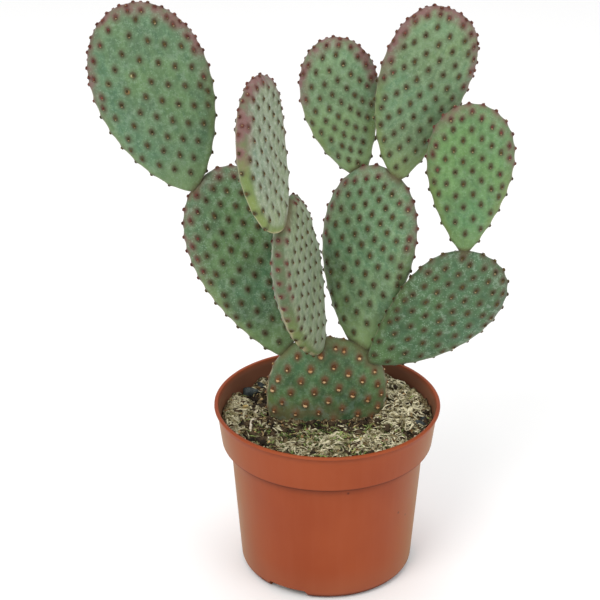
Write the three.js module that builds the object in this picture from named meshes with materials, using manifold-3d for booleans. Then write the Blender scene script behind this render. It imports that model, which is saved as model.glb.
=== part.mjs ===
// A potted paddle cactus: ten flat pads, the soil and a plastic nursery pot.
// Millimetres, +Z up. The origin is the centre of the pot's flat underside.
// The photo looks along +Y from above, with +X to the right.
import * as THREE from "three";
import { mergeVertices } from "three/addons/utils/BufferGeometryUtils.js";
import Module from "manifold-3d";

const wasm = await Module();
wasm.setup();

// The pot: a standard 12 cm nursery pot.
const LIP_RADIUS = 60;
const POT_HEIGHT = 95;
const LIP_HEIGHT = 1.5;
const BAND_TOP_RADIUS = 58.7;
const BAND_FOOT_RADIUS = 56.2;
const BAND_FOOT_Z = 74.6;
const BODY_TOP_RADIUS = 51.5;
const BODY_TOP_Z = 71.6;
const BODY_FOOT_RADIUS = 46.4;
const FOOT_CORNER = 5;
const WALL = 1.3;
const FLOOR = 2;
const POT_SIDES = 48;
const NOTCH_WIDTH = 23;
const NOTCH_HEIGHT = 4.6;
const NOTCH_INNER_RADIUS = 36;
const NOTCH_ANGLES = [-117, 3, 123];

// The soil.
const FIT_GAP = 0.3;
const SOIL_LEVEL = 84;
const SOIL_SIDES = 40;
const SOIL_RINGS = 8;

// Areoles: three-sided cushions on the faces and pointed teeth on the rims.
const CUSHION_RADIUS = 1.3;
const CUSHION_HEIGHT = 1.2;
const TOOTH_WIDTH = 2.4;
const TOOTH_REACH = 1.2;
const SEAT_GAP = 0.4;
const BARE_MARGIN = 2.2;
const LATTICE_STEPS = 14;
const SCATTER = 0.8;
const RIM_CLEAR = 3.4;
const RIM_SHARE = 0.88;
const APART = 4;
const FOOT_CLEAR = 5;
const TIP_PITCH = 7;
const FOOT_PITCH = 11;
const RIM_STEP = 4.2;
const SHOULDER_SHARE = 0.925;

// The widest part of a pad lies this far along it.
const HEART = 0.55;

// Each pad in turn. `foot` is the hidden lower end of its middle line. `lean` turns it in its own
// plane towards +X and `bend` is the turn from one end to the other. `turn` swings the plane about
// the upright and `tip` tilts its top away from the viewer. `low` and `high` are the powers that
// give the taper at the lower end and the roundness of the top. `cup` bows the plane. `areoles` is
// their lattice: one areole's place across and along the face, and the two steps to its neighbours.
// `taper` spreads the lattice towards the top, `arch` lifts it towards the rims and `stretch` opens
// it towards both ends. Angles are degrees.
const PADS = [
  {
    name: "pad_base",
    on: null,
    foot: [-7.5, 6, 53],
    length: 75,
    width: 63.5,
    thick: 16,
    lean: 9.5,
    bend: 0,
    turn: 0,
    tip: 4,
    cup: 0,
    low: 0.55,
    high: 0.4,
    areoles: { start: [1.4, 42], one: [-8.2, 3.4], two: [3.8, 7.9], taper: 0, arch: 6, stretch: 1.5 },
    colour: 0x4f7a58,
  },
  {
    name: "pad_lower_left",
    on: "pad_base",
    foot: [-22, 11.5, 114.5],
    length: 113.5,
    width: 57.5,
    thick: 13,
    lean: -18.5,
    bend: -8,
    turn: 18,
    tip: 6,
    cup: 0,
    low: 0.85,
    high: 0.5,
    areoles: { start: [3.6, 60], one: [-6.2, 6.1], two: [5.9, 5.9], taper: 0, arch: 5, stretch: -4 },
    colour: 0x4f7b5c,
  },
  {
    name: "pad_top_left",
    on: "pad_lower_left",
    foot: [-68.5, 6.5, 212],
    length: 101.5,
    width: 59,
    thick: 11,
    lean: -17.5,
    bend: 7,
    turn: 4,
    tip: 4,
    cup: 0,
    low: 0.75,
    high: 0.5,
    areoles: { start: [-4.5, 55.5], one: [5.5, 7], two: [-1.9, 11.6], taper: 0.35, arch: 5.5, stretch: 1 },
    colour: 0x578466,
  },
  {
    name: "pad_lower_front",
    on: "pad_base",
    foot: [-3, 5, 123.3],
    length: 103,
    width: 56,
    thick: 12,
    lean: -22,
    bend: 0,
    turn: 75,
    tip: 5.3,
    cup: 2.1,
    low: 0.63,
    high: 0.44,
    areoles: { start: [-3, 55.3], one: [5.2, 4.2], two: [-3, 10.1], taper: -0.2, arch: 3.5, stretch: -2 },
    colour: 0x6f8f75,
  },
  {
    name: "pad_upper_front",
    on: "pad_lower_front",
    foot: [-24.7, -45.5, 212],
    length: 76,
    width: 47.5,
    thick: 9.7,
    lean: 20,
    bend: 8,
    turn: 69.5,
    tip: 14,
    cup: 3.9,
    low: 0.42,
    high: 0.42,
    areoles: { start: [-0.9, 40.6], one: [-5.2, 3.7], two: [5, 6.4], taper: 0.1, arch: 5, stretch: -1 },
    colour: 0x87987f,
  },
  {
    name: "pad_lower_mid",
    on: "pad_base",
    foot: [18.5, 12, 113.5],
    length: 108,
    width: 50.5,
    thick: 12.5,
    lean: 3,
    bend: 15,
    turn: -20,
    tip: 6,
    cup: 0,
    low: 0.9,
    high: 0.5,
    areoles: { start: [3.7, 61], one: [6.6, 4.9], two: [1.6, 10], taper: -0.3, arch: 4.5, stretch: -3.5 },
    colour: 0x527e5f,
  },
  {
    name: "pad_upper_mid",
    on: "pad_lower_mid",
    foot: [18.5, 28.5, 209.5],
    length: 76.5,
    width: 40.5,
    thick: 10,
    lean: -11,
    bend: 33,
    turn: -6,
    tip: 8,
    cup: 0,
    low: 0.9,
    high: 0.5,
    areoles: { start: [1.2, 43.5], one: [-4, 4.3], two: [6.9, 2.5], taper: 0, arch: 5, stretch: 3 },
    colour: 0x5b8565,
  },
  {
    name: "pad_top_mid",
    on: "pad_lower_mid",
    foot: [35, 18, 213.5],
    length: 93,
    width: 45.5,
    thick: 10,
    lean: 17,
    bend: 20,
    turn: 6,
    tip: 2,
    cup: 0,
    low: 0.75,
    high: 0.4,
    areoles: { start: [-0.3, 48.5], one: [3.8, 5.9], two: [-4.3, 6.8], taper: -0.1, arch: 8.5, stretch: 1.5 },
    colour: 0x56815f,
  },
  {
    name: "pad_lower_right",
    on: "pad_base",
    foot: [20.5, 7, 114.5],
    length: 90,
    width: 49.5,
    thick: 12,
    lean: 43.5,
    bend: -23,
    turn: 0,
    tip: -6,
    cup: 0,
    low: 0.85,
    high: 0.45,
    areoles: { start: [1, 48], one: [7, 3.3], two: [1.1, 9.1], taper: 0.1, arch: 3.5, stretch: -2.5 },
    colour: 0x4f7a5d,
  },
  {
    name: "pad_upper_right",
    on: "pad_lower_right",
    foot: [69.5, 2, 178.5],
    length: 82,
    width: 43.5,
    thick: 10,
    lean: 2,
    bend: 4,
    turn: -5,
    tip: 2,
    cup: 0,
    low: 0.95,
    high: 0.5,
    areoles: { start: [1.5, 48.5], one: [3.9, 7], two: [-4.9, 5.1], taper: 0.2, arch: 5.5, stretch: -2.5 },
    colour: 0x6c9767,
  },
];

const rad = THREE.MathUtils.degToRad;

// A small seeded generator, so that every run gives the same plant.
function seeded(seed) {
  let s = seed;
  return () => {
    s = (s * 16807) % 2147483647;
    return s / 2147483647;
  };
}

// A pad's shape as formulas. Its flat frame has `v` across, `u` along from the foot and `h` through
// the thickness, with negative `h` towards the viewer.
class PadShape {
  constructor(spec) {
    Object.assign(this, spec);
    const peak = spec.low / (spec.low + spec.high);
    this.scale = 1 / (peak ** spec.low * (1 - peak) ** spec.high);
    this.heart = spec.length * HEART;
    const curve = Math.abs(spec.bend) < 0.01 ? 0.01 : spec.bend;
    this.bow = rad(curve) / spec.length;
    this.start = rad(spec.lean) - rad(curve) / 2;
    this.spin = new THREE.Matrix4()
      .makeRotationZ(rad(spec.turn))
      .multiply(new THREE.Matrix4().makeRotationX(-rad(spec.tip)));
    this.place = new THREE.Matrix4().makeTranslation(...spec.foot).multiply(this.spin);
    this.unplace = this.place.clone().invert();
    this.edge = this.walkEdge();
  }

  halfWidth(u) {
    const t = THREE.MathUtils.clamp(u / this.length, 0, 1);
    return (this.width / 2) * this.scale * t ** this.low * (1 - t) ** this.high;
  }

  // Fine points round the outline, from the foot up the +v side and back down.
  walkEdge() {
    const steps = 240;
    const points = [];
    for (let i = 0; i < steps; i += 1) {
      const a = (2 * Math.PI * i) / steps;
      const u = (this.length * (1 - Math.cos(a))) / 2;
      const side = a < Math.PI ? 1 : -1;
      points.push(new THREE.Vector2(side * this.halfWidth(u), u));
    }
    return points;
  }

  // Distance from the heart of the pad to its outline in the direction of a point.
  reach(v, u) {
    const want = Math.atan2(v, this.heart - u);
    let best = 0;
    for (let i = 0; i < this.edge.length; i += 1) {
      const a = this.edge[i];
      const b = this.edge[(i + 1) % this.edge.length];
      const fromAngle = Math.atan2(a.x, this.heart - a.y);
      let toAngle = Math.atan2(b.x, this.heart - b.y);
      if (toAngle < fromAngle - Math.PI) toAngle += 2 * Math.PI;
      const at = want < fromAngle - 1e-9 ? want + 2 * Math.PI : want;
      if (at >= fromAngle && at <= toAngle) {
        const share = (at - fromAngle) / Math.max(toAngle - fromAngle, 1e-9);
        const x = a.x + share * (b.x - a.x);
        const y = a.y + share * (b.y - a.y);
        best = Math.max(best, Math.hypot(x, y - this.heart));
      }
    }
    return best;
  }

  // How far out a flat point lies: 0 at the heart and 1 on the outline.
  share(v, u) {
    const out = Math.hypot(v, u - this.heart);
    return out < 1e-6 ? 0 : out / this.reach(v, u);
  }

  halfThick(share, u) {
    const slim = 0.86 + 0.14 * THREE.MathUtils.smoothstep(u / this.length, 0, 0.4);
    const round = Math.sqrt(Math.max(0, 1 - Math.min(share, 1) ** 5));
    return (this.thick / 2) * slim * round;
  }

  world(v, u, h) {
    const angle = this.start + this.bow * u;
    const x = (Math.cos(this.start) - Math.cos(angle)) / this.bow + v * Math.cos(angle);
    const z = (Math.sin(angle) - Math.sin(this.start)) / this.bow - v * Math.sin(angle);
    const t = u / this.length;
    return new THREE.Vector3(x, h + this.cup * 4 * t * (1 - t), z).applyMatrix4(this.place);
  }

  // The flat coordinates of a point in space.
  flat(point) {
    const p = point.clone().applyMatrix4(this.unplace);
    const x = p.x - Math.cos(this.start) / this.bow;
    const z = p.z + Math.sin(this.start) / this.bow;
    const arm = -Math.sign(this.bow) * Math.hypot(x, z);
    const angle = Math.atan2(-z / arm, x / arm);
    const u = (angle - this.start) / this.bow;
    const t = u / this.length;
    return { v: arm + 1 / this.bow, u, h: p.y - this.cup * 4 * t * (1 - t) };
  }

  holds(point, margin) {
    const { v, u, h } = this.flat(point);
    const out = Math.hypot(v, u - this.heart) / (this.reach(v, u) + margin);
    return out < 1 && Math.abs(h) < this.halfThick(out, u) + margin;
  }
}

// Delaunay triangles of points in the plane, counter-clockwise.
function delaunay(points) {
  const far = 1e5;
  const all = [...points, [-far, -far], [far, -far], [0, far]];
  const n = points.length;
  const circle = (a, b, c) => {
    const [ax, ay] = all[a];
    const bx = all[b][0] - ax;
    const by = all[b][1] - ay;
    const cx = all[c][0] - ax;
    const cy = all[c][1] - ay;
    const d = 2 * (bx * cy - by * cx);
    const x = (cy * (bx * bx + by * by) - by * (cx * cx + cy * cy)) / d;
    const y = (bx * (cx * cx + cy * cy) - cx * (bx * bx + by * by)) / d;
    return { a, b, c, x: ax + x, y: ay + y, r2: x * x + y * y };
  };
  let tris = [circle(n, n + 1, n + 2)];
  for (let i = 0; i < n; i += 1) {
    const [px, py] = all[i];
    const edges = new Map();
    const keep = [];
    for (const t of tris) {
      if ((px - t.x) ** 2 + (py - t.y) ** 2 >= t.r2) {
        keep.push(t);
      } else {
        for (const [p, q] of [[t.a, t.b], [t.b, t.c], [t.c, t.a]]) {
          if (edges.has(`${q},${p}`)) edges.delete(`${q},${p}`);
          else edges.set(`${p},${q}`, [p, q]);
        }
      }
    }
    tris = keep;
    for (const [p, q] of edges.values()) tris.push(circle(p, q, i));
  }
  return tris.filter((t) => t.a < n && t.b < n && t.c < n).map((t) => [t.a, t.b, t.c]);
}

const solidFrom = (positions, indices) =>
  new wasm.Manifold(
    new wasm.Mesh({
      numProp: 3,
      vertProperties: new Float32Array(positions),
      triVerts: new Uint32Array(indices),
    }),
  );

function solidOf(geometry) {
  const bare = geometry.clone();
  bare.deleteAttribute("normal");
  bare.deleteAttribute("uv");
  const merged = mergeVertices(bare, 1e-4);
  return solidFrom(merged.attributes.position.array, merged.index.array);
}

function geometryOf(solid) {
  const mesh = solid.getMesh();
  const geometry = new THREE.BufferGeometry();
  geometry.setAttribute("position", new THREE.BufferAttribute(mesh.vertProperties, 3));
  geometry.setIndex(new THREE.BufferAttribute(mesh.triVerts, 1));
  const faceted = geometry.toNonIndexed();
  faceted.computeVertexNormals();
  return faceted;
}

const shapes = new Map(PADS.map((spec) => [spec.name, new PadShape(spec)]));

// True where a cushion would sit on or beside another pad, or down in the soil.
function isBare(shape, point) {
  if (shape.on === null && point.z < SOIL_LEVEL + 3) return true;
  for (const other of shapes.values()) {
    if (other !== shape && other.holds(point, BARE_MARGIN)) return true;
  }
  return false;
}

// The areoles of one face, as flat points inside the shoulder of the rim.
function faceAreoles(shape, random) {
  const { start, one, two, taper, arch, stretch } = shape.areoles;
  const found = [];
  for (let i = -LATTICE_STEPS; i <= LATTICE_STEPS; i += 1) {
    for (let j = -LATTICE_STEPS; j <= LATTICE_STEPS; j += 1) {
      const across = start[0] + i * one[0] + j * two[0];
      const along = start[1] + i * one[1] + j * two[1];
      const side = across / (shape.width / 2);
      const level = along / shape.length - HEART;
      if (Math.abs(side) > 1.3 || Math.abs(level) > 0.8) continue;
      const v = across * (1 + taper * level) + (random() - 0.5) * SCATTER;
      const u = along + arch * side ** 2 + 10 * stretch * level ** 2 + (random() - 0.5) * SCATTER;
      if (u < FOOT_CLEAR || u > shape.length - RIM_CLEAR) continue;
      const share = shape.share(v, u);
      if (share > RIM_SHARE || shape.reach(v, u) * (1 - share) < RIM_CLEAR) continue;
      if (found.every(([a, b]) => Math.hypot(a - v, b - u) > APART)) found.push([v, u]);
    }
  }
  return found;
}

// Places of the rim's teeth along an outline of a given length: close together at the tip and wider
// apart towards the foot.
function rimPlaces(shape, along, length) {
  const places = [];
  for (const way of [-1, 1]) {
    let s = length / 2 + (way * TIP_PITCH) / 2;
    while (Math.abs(s - length / 2) < length / 2 - FOOT_CLEAR) {
      places.push(s);
      const level = along(s).y / shape.length;
      s += way * (FOOT_PITCH + (TIP_PITCH - FOOT_PITCH) * level);
    }
  }
  return places.sort((a, b) => a - b);
}

// One pad as a triangle net: a rim ring shared by both faces, a shoulder ring on each face and
// three points round every areole. With bumps the areoles rise to a point.
function padNet(shape, bumps) {
  const positions = [];
  const indices = [];
  const add = (p) => positions.push(p.x, p.y, p.z) / 3 - 1;
  const edge = shape.edge;
  const around = [];
  let length = 0;
  for (let i = 0; i < edge.length; i += 1) {
    around.push(length);
    length += edge[i].distanceTo(edge[(i + 1) % edge.length]);
  }
  const along = (s) => {
    const w = ((s % length) + length) % length;
    let i = around.findIndex((a) => a > w) - 1;
    if (i < 0) i = edge.length - 1;
    const step = edge[i].distanceTo(edge[(i + 1) % edge.length]);
    return edge[i].clone().lerp(edge[(i + 1) % edge.length], (w - around[i]) / step);
  };
  const inward = (p, share) => [p.x * share, shape.heart + (p.y - shape.heart) * share];
  // The net is laid out flat with the rim spread outwards, where the skin turns down.
  const spread = (v, u, share) => {
    const k = share > 0.8 ? 1 + 0.5 * (share - 0.8) : 1;
    return [v * k, shape.heart + (u - shape.heart) * k];
  };
  const rim = [];
  const rimTeeth = [];
  const places = rimPlaces(shape, along, length);
  const addRim = (s) => {
    const p = along(s);
    rim.push({ flat: [p.x, p.y], id: add(shape.world(p.x, p.y, 0)), share: 1 });
  };
  for (const [i, s] of places.entries()) {
    addRim(s - TOOTH_WIDTH / 2);
    addRim(s + TOOTH_WIDTH / 2);
    const p = along(s);
    const q = along(s + 0.1);
    const out = new THREE.Vector2(q.y - p.y, p.x - q.x).normalize();
    const tipAt = p.clone().addScaledVector(out, TOOTH_REACH);
    if (!isBare(shape, shape.world(p.x, p.y, 0))) {
      rimTeeth.push({ from: rim.length - 2, tipAt, foot: p.clone().addScaledVector(out, -0.9) });
    }
    const next = i + 1 < places.length ? places[i + 1] : places[0] + length;
    const gap = next - s - TOOTH_WIDTH;
    const plain = Math.floor(gap / RIM_STEP);
    for (let k = 1; k <= plain; k += 1) addRim(s + TOOTH_WIDTH / 2 + (k * gap) / (plain + 1));
  }
  if (bumps) {
    for (const tooth of rimTeeth) {
      tooth.tip = add(shape.world(tooth.tipAt.x, tooth.tipAt.y, 0));
    }
  }
  for (const side of [-1, 1]) {
    const random = seeded(shape.name.length * 101 + Math.round(shape.width * 10) + side);
    const flat = rim.map((r) => ({ ...r }));
    const skin = (v, u) => {
      const share = shape.share(v, u);
      const h = side * shape.halfThick(share, u);
      return { flat: [v, u], share, id: add(shape.world(v, u, h)), h };
    };
    const capOf = new Map();
    for (const tooth of rimTeeth) {
      flat.push(skin(tooth.foot.x, tooth.foot.y));
      const key = [tooth.from, tooth.from + 1, flat.length - 1].sort((a, b) => a - b).join();
      capOf.set(key, { tooth });
    }
    const shoulder = Math.round(places.length * 1.2);
    for (let i = 0; i < shoulder; i += 1) {
      const p = along((i * length) / shoulder);
      flat.push(skin(...inward(p, SHOULDER_SHARE)));
    }
    for (const [v, u] of faceAreoles(shape, random)) {
      const share = shape.share(v, u);
      const h = side * shape.halfThick(share, u);
      const bare = isBare(shape, shape.world(v, u, h));
      const first = flat.length;
      if (bare) {
        flat.push(skin(v, u));
      } else {
        const roll = random() * 2 * Math.PI;
        for (let k = 0; k < 3; k += 1) {
          const a = roll + (k * 2 * Math.PI) / 3;
          flat.push(skin(v + CUSHION_RADIUS * Math.cos(a), u + CUSHION_RADIUS * Math.sin(a)));
        }
        const tip = shape.world(v, u, h + side * CUSHION_HEIGHT);
        capOf.set([first, first + 1, first + 2].join(), { tip });
      }
    }
    const net = delaunay(flat.map((f) => spread(...f.flat, f.share)));
    for (const tri of net) {
      const [a, b, c] = side < 0 ? tri : [tri[0], tri[2], tri[1]];
      const key = [...tri].sort((x, y) => x - y).join();
      const cap = bumps ? capOf.get(key) : undefined;
      const ids = [a, b, c].map((k) => flat[k].id);
      if (cap === undefined) {
        indices.push(...ids);
      } else {
        const tip = cap.tooth ? cap.tooth.tip : add(cap.tip);
        for (const [p, q] of [[0, 1], [1, 2], [2, 0]]) {
          const isRim = cap.tooth && flat[[a, b, c][p]].share === 1 && flat[[a, b, c][q]].share === 1;
          if (!isRim) indices.push(ids[p], ids[q], tip);
        }
      }
    }
  }
  return { positions, indices };
}

// Moves every point of a net out along its normal.
function grown(net, by) {
  const geometry = new THREE.BufferGeometry();
  geometry.setAttribute("position", new THREE.Float32BufferAttribute(net.positions, 3));
  geometry.setIndex(net.indices);
  geometry.computeVertexNormals();
  const normal = geometry.attributes.normal.array;
  return solidFrom(net.positions.map((x, i) => x + by * normal[i]), net.indices);
}

const parts = [];

function addPart(name, solid, colour, roughness) {
  const material = new THREE.MeshStandardMaterial({ color: colour, roughness, metalness: 0 });
  const mesh = new THREE.Mesh(geometryOf(solid), material);
  mesh.name = name;
  parts.push(mesh);
}

// The pads, each cut back where its lower end would enter the pad that it stands on.
const clearances = new Map();
for (const spec of PADS) {
  const shape = shapes.get(spec.name);
  clearances.set(spec.name, grown(padNet(shape, false), SEAT_GAP));
}
for (const spec of PADS) {
  const net = padNet(shapes.get(spec.name), true);
  let solid = solidFrom(net.positions, net.indices);
  if (spec.on !== null) solid = solid.subtract(clearances.get(spec.on));
  const pieces = solid.decompose().sort((a, b) => b.volume() - a.volume());
  addPart(spec.name, pieces[0], spec.colour, 0.55);
}

// The wall's outer radius at a height on the band or the body.
function wallRadius(z) {
  if (z > BAND_FOOT_Z) {
    const share = (z - BAND_FOOT_Z) / (POT_HEIGHT - LIP_HEIGHT - BAND_FOOT_Z);
    return BAND_FOOT_RADIUS + share * (BAND_TOP_RADIUS - BAND_FOOT_RADIUS);
  }
  const share = (z - FOOT_CORNER) / (BODY_TOP_Z - FOOT_CORNER);
  return BODY_FOOT_RADIUS + share * (BODY_TOP_RADIUS - BODY_FOOT_RADIUS);
}

// The pot: one turned profile from the underside up the outside and down the inside.
function makePot() {
  const profile = [[0, 0]];
  const corner = BODY_FOOT_RADIUS - FOOT_CORNER;
  for (const a of [0, 30, 60, 90]) {
    const x = corner + FOOT_CORNER * Math.sin(rad(a));
    profile.push([x, FOOT_CORNER - FOOT_CORNER * Math.cos(rad(a))]);
  }
  for (const a of [90, 60, 30, 0]) {
    const x = BODY_TOP_RADIUS + (BAND_FOOT_RADIUS - BODY_TOP_RADIUS) * Math.cos(rad(a));
    profile.push([x, BAND_FOOT_Z - (BAND_FOOT_Z - BODY_TOP_Z) * Math.sin(rad(a))]);
  }
  profile.push([BAND_TOP_RADIUS, POT_HEIGHT - LIP_HEIGHT]);
  profile.push([LIP_RADIUS, POT_HEIGHT - 1]);
  profile.push([LIP_RADIUS, POT_HEIGHT - 0.4]);
  profile.push([LIP_RADIUS - 0.4, POT_HEIGHT]);
  profile.push([LIP_RADIUS - 1.6, POT_HEIGHT]);
  profile.push([BAND_TOP_RADIUS - WALL, POT_HEIGHT - LIP_HEIGHT]);
  profile.push([wallRadius(BAND_FOOT_Z + 1) - WALL, BAND_FOOT_Z + 1]);
  profile.push([BODY_TOP_RADIUS - WALL, BODY_TOP_Z + 0.6]);
  profile.push([wallRadius(FLOOR + 4) - WALL, FLOOR + 4]);
  profile.push([wallRadius(FLOOR + 4) - WALL - 1.2, FLOOR + 1.2]);
  profile.push([corner - 0.6, FLOOR]);
  profile.push([0, FLOOR]);
  const points = profile.map(([x, z]) => new THREE.Vector2(x, z));
  const turned = new THREE.LatheGeometry(points, POT_SIDES).rotateX(Math.PI / 2);
  let pot = solidOf(turned);
  const mouth = new THREE.Shape();
  mouth.moveTo(-NOTCH_WIDTH / 2, -2);
  mouth.lineTo(NOTCH_WIDTH / 2, -2);
  mouth.lineTo(NOTCH_WIDTH / 2, NOTCH_HEIGHT / 2);
  mouth.lineTo(NOTCH_WIDTH / 2 - 1.4, NOTCH_HEIGHT);
  mouth.lineTo(1.4 - NOTCH_WIDTH / 2, NOTCH_HEIGHT);
  mouth.lineTo(-NOTCH_WIDTH / 2, NOTCH_HEIGHT / 2);
  mouth.closePath();
  for (const angle of NOTCH_ANGLES) {
    const depth = LIP_RADIUS - NOTCH_INNER_RADIUS;
    const notch = new THREE.ExtrudeGeometry(mouth, { depth, bevelEnabled: false });
    notch.rotateX(Math.PI / 2).rotateZ(Math.PI / 2).translate(NOTCH_INNER_RADIUS, 0, 0);
    notch.rotateZ(rad(angle));
    pot = pot.subtract(solidOf(notch));
  }
  return pot;
}

// Height of the soil's top: higher at the right, a heap in front, a hollow at the left and lumps.
function soilTop(x, y) {
  const mound = 2.6 * THREE.MathUtils.smoothstep(x, -10, 45);
  const hollow = -3 * Math.exp(-((x + 34) ** 2 + (y - 18) ** 2) / 260);
  const heap = 1.4 * Math.exp(-((x - 6) ** 2 + (y + 20) ** 2) / 500);
  const lumps =
    0.8 * Math.sin(x * 0.41 + 1.3) * Math.cos(y * 0.37 - 0.6) + 0.6 * Math.sin(x * 0.19 - y * 0.53);
  return SOIL_LEVEL + mound + hollow + heap + lumps;
}

// The soil: a filled body that follows the pot's inside, bevelled below so that it stays clear of
// the notches, with a hole for the buried pad.
function makeSoil() {
  const positions = [];
  const indices = [];
  const add = (x, y, z) => positions.push(x, y, z) / 3 - 1;
  const ring = (radius, z) => {
    const ids = [];
    for (let i = 0; i < SOIL_SIDES; i += 1) {
      const a = (2 * Math.PI * i) / SOIL_SIDES;
      const r = typeof radius === "function" ? radius(a) : radius;
      const x = r * Math.cos(a);
      const y = r * Math.sin(a);
      ids.push(add(x, y, z === null ? soilTop(x, y) : z));
    }
    return ids;
  };
  const join = (low, high) => {
    for (let i = 0; i < SOIL_SIDES; i += 1) {
      const j = (i + 1) % SOIL_SIDES;
      indices.push(low[i], low[j], high[j], low[i], high[j], high[i]);
    }
  };
  const floorId = add(0, 0, FLOOR + FIT_GAP);
  const inside = (z) => wallRadius(z) - WALL - FIT_GAP;
  const corner = BODY_FOOT_RADIUS - FOOT_CORNER;
  const rings = [
    ring(corner - 7, FLOOR + FIT_GAP),
    ring(inside(FLOOR + 5) - 0.4, FLOOR + 5),
    ring(BODY_TOP_RADIUS - WALL - FIT_GAP - 0.2, BODY_TOP_Z + 0.6),
    ring(inside(BAND_FOOT_Z + 1) - 0.3, BAND_FOOT_Z + 1.6),
  ];
  const rim = (a) => {
    const x = 55.5 * Math.cos(a);
    const y = 55.5 * Math.sin(a);
    return inside(soilTop(x, y)) - 0.2;
  };
  for (let k = 0; k < SOIL_RINGS; k += 1) {
    const share = 1 - k / SOIL_RINGS;
    rings.push(ring((a) => rim(a) * share, null));
  }
  for (let i = 0; i < SOIL_SIDES; i += 1) {
    indices.push(floorId, rings[0][(i + 1) % SOIL_SIDES], rings[0][i]);
  }
  for (let k = 1; k < rings.length; k += 1) join(rings[k - 1], rings[k]);
  const topId = add(0, 0, soilTop(0, 0));
  const last = rings[rings.length - 1];
  for (let i = 0; i < SOIL_SIDES; i += 1) {
    indices.push(last[i], last[(i + 1) % SOIL_SIDES], topId);
  }
  return solidFrom(positions, indices).subtract(clearances.get("pad_base"));
}

addPart("soil", makeSoil(), 0x8c8468, 0.95);
addPart("pot", makePot(), 0xa85539, 0.45);

const cactus = new THREE.Group();
cactus.name = "potted_paddle_cactus";
cactus.add(...parts);

export default cactus;
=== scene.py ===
"""Looks for the potted paddle cactus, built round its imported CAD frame.

Metres, +Z up, origin at the centre of the pot's underside. Sizes below are in millimetres, as in
the CAD, and are turned to metres where meshes are made.
"""

from math import copysign, cos, exp, hypot, pi, radians, sin, sqrt

import bmesh
import bpy
import numpy as np
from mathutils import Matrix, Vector


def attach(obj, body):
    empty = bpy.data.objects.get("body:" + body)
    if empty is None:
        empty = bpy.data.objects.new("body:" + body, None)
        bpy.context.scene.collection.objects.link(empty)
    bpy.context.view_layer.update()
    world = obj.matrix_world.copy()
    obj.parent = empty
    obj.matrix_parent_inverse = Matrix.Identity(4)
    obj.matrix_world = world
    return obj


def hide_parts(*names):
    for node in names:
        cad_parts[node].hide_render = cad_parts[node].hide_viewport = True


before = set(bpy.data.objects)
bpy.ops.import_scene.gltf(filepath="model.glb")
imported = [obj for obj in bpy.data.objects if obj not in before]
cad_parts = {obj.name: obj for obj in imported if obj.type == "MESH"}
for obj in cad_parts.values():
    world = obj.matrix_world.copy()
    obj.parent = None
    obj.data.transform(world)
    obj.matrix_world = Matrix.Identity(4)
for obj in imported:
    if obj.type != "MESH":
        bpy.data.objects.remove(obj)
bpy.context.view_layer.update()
MM = 0.001

# Camera: the photo's long lens, above the pot and turned a little to its left.
CAMERA_AT = (0.0, -861.2, 568.3)
CAMERA_DOWN = 25.66
CAMERA_TURN = 0.96
LENS = 110.8
SENSOR = 36

# Pot, as in the CAD. The lip's rounding is given out and up from its top edge.
LIP_RADIUS = 60.0
POT_HEIGHT = 95.0
LIP_HEIGHT = 1.5
LIP_ROUND = (
    (-1.15, -1.55), (-0.35, -1.45), (-0.08, -1.25), (0, -0.8), (-0.05, -0.35), (-0.35, -0.05),
    (-0.8, 0), (-1.4, 0), (-1.9, -0.2), (-2.6, -2),
)
BAND_TOP_RADIUS = 58.7
BAND_FOOT_RADIUS = 56.2
BAND_FOOT_Z = 74.6
BODY_TOP_RADIUS = 51.5
BODY_TOP_Z = 71.6
BODY_FOOT_RADIUS = 46.4
FOOT_CORNER = 5.0
WALL = 1.3
FLOOR = 2.0
POT_SIDES = 192
NOTCH_WIDTH = 23.0
NOTCH_HEIGHT = 4.6
NOTCH_INNER_RADIUS = 36.0
NOTCH_ANGLES = (-117, 3, 123)
SOIL_LEVEL = 84.0
BURIED_LEVEL = 83.0
FIT_GAP = 0.3

# Areoles, as in the CAD. The last six are for the ones that only this script adds near the rims.
BARE_MARGIN = 2.2
LATTICE_STEPS = 14
SCATTER = 0.8
RIM_CLEAR = 3.4
RIM_SHARE = 0.88
APART = 4
FOOT_CLEAR = 5
TIP_PITCH = 7
FOOT_PITCH = 11
HEART = 0.55
EDGE_CLEAR = 1.7
TOOTH_CLEAR = 3.0
SECOND_ROW = 3.2
ROW_CLEAR = 4.5
SHOULDER_FROM = 0.66
SHOULDER_SHARE = 0.985

# The skins' meshes: points round each ring, the distance between rings and slow waves' length.
AROUND = 208
RING_STEP = 0.9
SKIN_WAVE = 30

# A pad turned further than this shows its narrow side, and one with a stronger flush than this
# has maroon areoles near its top. Each areole has this many bristles.
EDGE_ON = 60
YOUNG_FLUSH = 0.55
BRISTLES = 5

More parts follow.
